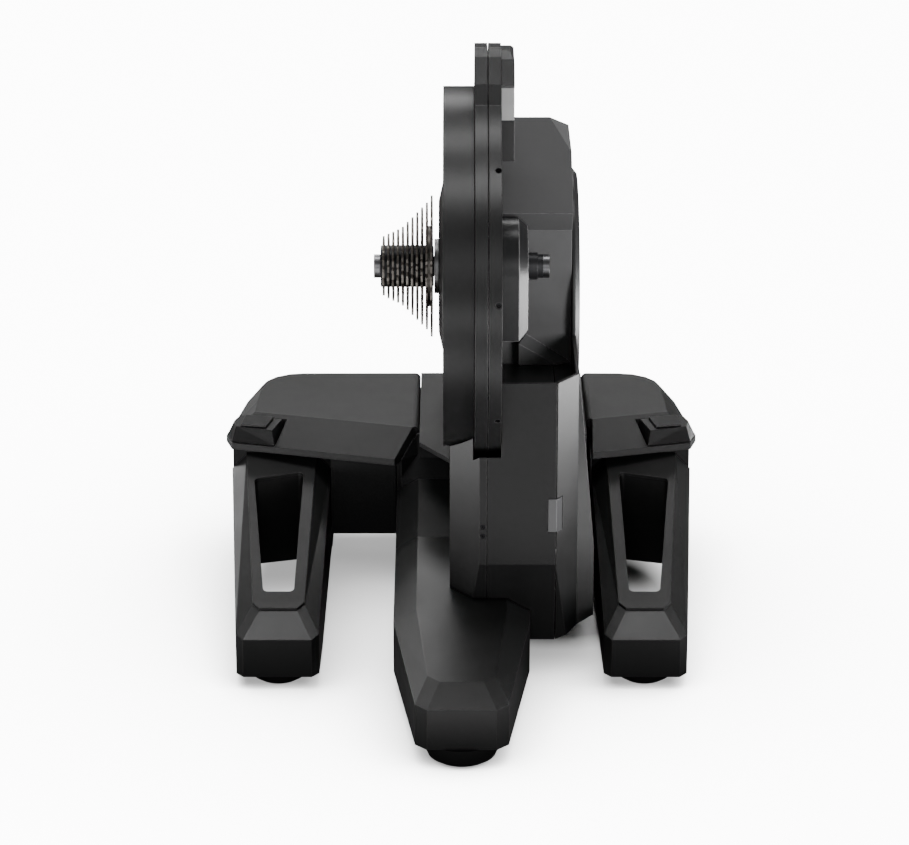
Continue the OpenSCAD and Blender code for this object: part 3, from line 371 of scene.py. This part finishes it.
# %% Round the edges
CORNER_ANGLE = math.radians(22)
ROUNDED = {
    0.004: ["dropout_boss"],
    0.003: ["pulley_cover", "centre_leg", *both("leg")],
    0.002: both("wing_cover", "latch_block"),
    0.0012: ["body_front_cover", "body_left_cover", "body_side_cover", "flywheel_housing",
             *both("leg_panel", "button")],
    0.0006: ["spine_left_shell", "spine_right_shell", "handle_inlay", "status_window",
             "base_top_plate"],
}
for width, names in ROUNDED.items():
    for name in names:
        rounding = nodes[name].modifiers.new("rounded_edges", "BEVEL")
        rounding.width = width
        rounding.segments = 3
        rounding.limit_method = "ANGLE"
        rounding.angle_limit = CORNER_ANGLE
print("pieces with rounded edges:", sum(len(names) for names in ROUNDED.values()))

# %% [markdown]
# ## The floor
#
# The photograph has a white ground, which runs up behind the trainer and has soft grey shadows
# under it. A curved backdrop could give that, but from this height a wide flat floor fills the
# picture.

# %% Floor
FLOOR_REACH = 12.0

floor_mesh = bpy.data.meshes.new("floor")
form = bmesh.new()
bmesh.ops.create_grid(form, x_segments=1, y_segments=1, size=FLOOR_REACH)
form.to_mesh(floor_mesh)
form.free()
floor = bpy.data.objects.new("floor", floor_mesh)
bpy.context.scene.collection.objects.link(floor)
print("floor", tuple(floor.dimensions))

# %% [markdown]
# ## The floor's material
#
# A white floor would throw too much light up at the black covers. So only the camera sees it pale,
# through the light path node, and every other ray finds it nearly black. Near the feet its colour
# follows ambient occlusion, which paints the soft shadows into it. A faint glow, painted light,
# keeps the darkest places from going black, since a shadow this soft has no dark core. Under the
# body the glow is left out, because the seam between two covers would let it through, so the
# painted shadow there stays darker.

# %% Floor material
SHADOW_REACH = 0.5
GLOW = 0.45
UNDER_BODY = (0.084, 0.095, 0.0)
GLOW_STARTS, GLOW_FULL = 0.095, 0.125  # distances from there


def split_by_ray(tree, seen, felt, output):
    """Shows one shader to the camera, and another to all light that bounces about."""
    ray = add_node(tree, "ShaderNodeLightPath")
    choice = add_node(tree, "ShaderNodeMixShader", {
        "Fac": ray.outputs["Is Camera Ray"], 1: felt.outputs[0], 2: seen.outputs[0]})
    add_node(tree, output, {"Surface": choice.outputs[0]})


pale = bpy.data.materials.new("pale floor")
pale.use_nodes = True
paper = pale.node_tree
paper.nodes.clear()
# Painted shadow: ambient occlusion darkens the floor's colour near the trainer.
nearness = add_node(paper, "ShaderNodeAmbientOcclusion", {"Distance": SHADOW_REACH}, samples=12)
paleness = add_node(paper, "ShaderNodeMapRange", {
    "Value": nearness.outputs["AO"], "From Min": 0.35, "From Max": 0.97,
    "To Min": 0.26, "To Max": 0.88})
bright = add_node(paper, "ShaderNodeBsdfDiffuse", {"Color": paleness.outputs["Result"]})
# Painted light: an emission lifts the floor's shadows, except in a patch under the body.
where = add_node(paper, "ShaderNodeTexCoord")
away = add_node(paper, "ShaderNodeVectorMath", {0: where.outputs["Object"], 1: UNDER_BODY},
                operation="DISTANCE")
fade = add_node(paper, "ShaderNodeMapRange", {
    "Value": away.outputs["Value"], "From Min": GLOW_STARTS, "From Max": GLOW_FULL,
    "To Max": GLOW})
glow = add_node(paper, "ShaderNodeEmission", {
    "Color": (1, 1, 1, 1), "Strength": fade.outputs["Result"]})
lifted = add_node(paper, "ShaderNodeAddShader", {0: bright.outputs[0], 1: glow.outputs[0]})
dim = add_node(paper, "ShaderNodeBsdfDiffuse", {"Color": (0.008, 0.008, 0.008, 1)})
split_by_ray(paper, seen=lifted, felt=dim, output="ShaderNodeOutputMaterial")
floor.data.materials.append(pale)
print("floor material with", len(paper.nodes), "nodes")

# %% [markdown]
# ## Helpers for lamps
#
# A lamp is a light and an object that holds it. Area lamps stand for a studio's softboxes: the
# wider the box, the softer the highlight. Two need more than that. A lamp that should light only
# some pieces gets a collection of them, which is called light linking. And since the floor sends
# no light up, flat lamps that lie on it and face up stand for its reflection.


# %% Helpers for lamps
def hang(data, place, look_at, only=()):
    lamp = bpy.data.objects.new(data.name, data)
    lamp.location = place
    lamp.rotation_euler = (Vector(look_at) - Vector(place)).to_track_quat("-Z", "Y").to_euler()
    bpy.context.scene.collection.objects.link(lamp)
    if only:
        group = bpy.data.collections.new(data.name + "_lights")
        for target in only:
            group.objects.link(target)
        lamp.light_linking.receiver_collection = group
    return lamp


def softbox(name, place, look_at, width, height, power, only=()):
    data = bpy.data.lights.new(name, "AREA")
    data.energy = power
    data.shape = "RECTANGLE"
    data.size, data.size_y = width, height
    hang(data, place, look_at, [nodes[piece] for piece in only]).visible_camera = False


def floor_panel(name, x, y, width, height, power, lift=0.01):
    softbox(name, (x, y, lift), (x, y, 1.0), width, height, power)


# %% [markdown]
# ## The lamps
#
# One wide sun lights the floor alone, yet everything blocks it, so the shadows are true. The
# trainer is lit from behind and above, which draws the light lines on its tops, and from the
# right by the bright ground. Stronger lamps for all would turn the black covers grey, so the two
# palest parts, the flywheel's housing and the spine, have a linked lamp each.

# %% Lamps
daylight = bpy.data.lights.new("floor_daylight", "SUN")
daylight.energy = 42.0
daylight.angle = math.radians(90)
hang(daylight, (0.4, -0.6, 3), (0, 0, 0), only=[floor])

softbox("top_light", (0.0, 0.4, 2.3), (0, 0, 0.4), 1.6, 0.4, 14)
softbox("rear_light", (0.0, 2.6, 2.1), (0, 0, 0.3), 3.0, 0.6, 29)
softbox("rear_left_light", (-2.0, 2.6, 0.9), (0, 0, 0.1), 1.2, 0.8, 13)
softbox("front_light", (-0.2, -3.0, 1.4), (0, 0, 0.35), 1.0, 1.0, 6)
floor_panel("front_floor_light", 0.0, -1.5, 1.6, 1.0, 13)
floor_panel("right_floor_light", 1.35, 0.25, 1.1, 1.7, 120)
floor_panel("left_floor_light", -1.05, -0.1, 1.1, 1.2, 18)
floor_panel("near_floor_light", 0.0, -0.44, 0.5, 0.2, 0.45)
floor_panel("left_edge_light", -0.36, -0.34, 0.2, 0.2, 1, lift=0.012)
floor_panel("right_edge_light", 0.36, -0.34, 0.2, 0.2, 1, lift=0.012)
softbox("housing_light", (1.5, -2.1, 0.8), (0, 0, 0.3), 0.8, 0.8, 85,
        only=["flywheel_housing", "dropout_boss", "flywheel_cover", "non_drive_spacer"])
softbox("spine_light", (0.0, -1.0, 2.6), (0, 0, 0.45), 0.8, 0.6, 14,
        only=["spine_left_shell", "spine_right_shell", "pulley_cover", "handle_inlay"])

# %% [markdown]
# ## The sky
#
# A low view looks past the floor's end. There the camera sees a sky as white as the ground, while
# the trainer gets only a trace of its light, so that the lamps alone shape it.

# %% Sky
SKY_SEEN, SKY_FELT = 16.0, 0.1

world = bpy.data.worlds.new("studio")
bpy.context.scene.world = world
world.use_nodes = True
sky = world.node_tree
sky.nodes.clear()
seen, felt = (add_node(sky, "ShaderNodeBackground", {"Color": (1, 1, 1, 1), "Strength": strength})
              for strength in (SKY_SEEN, SKY_FELT))
split_by_ray(sky, seen, felt, output="ShaderNodeOutputWorld")
print("sky with", len(sky.nodes), "nodes")
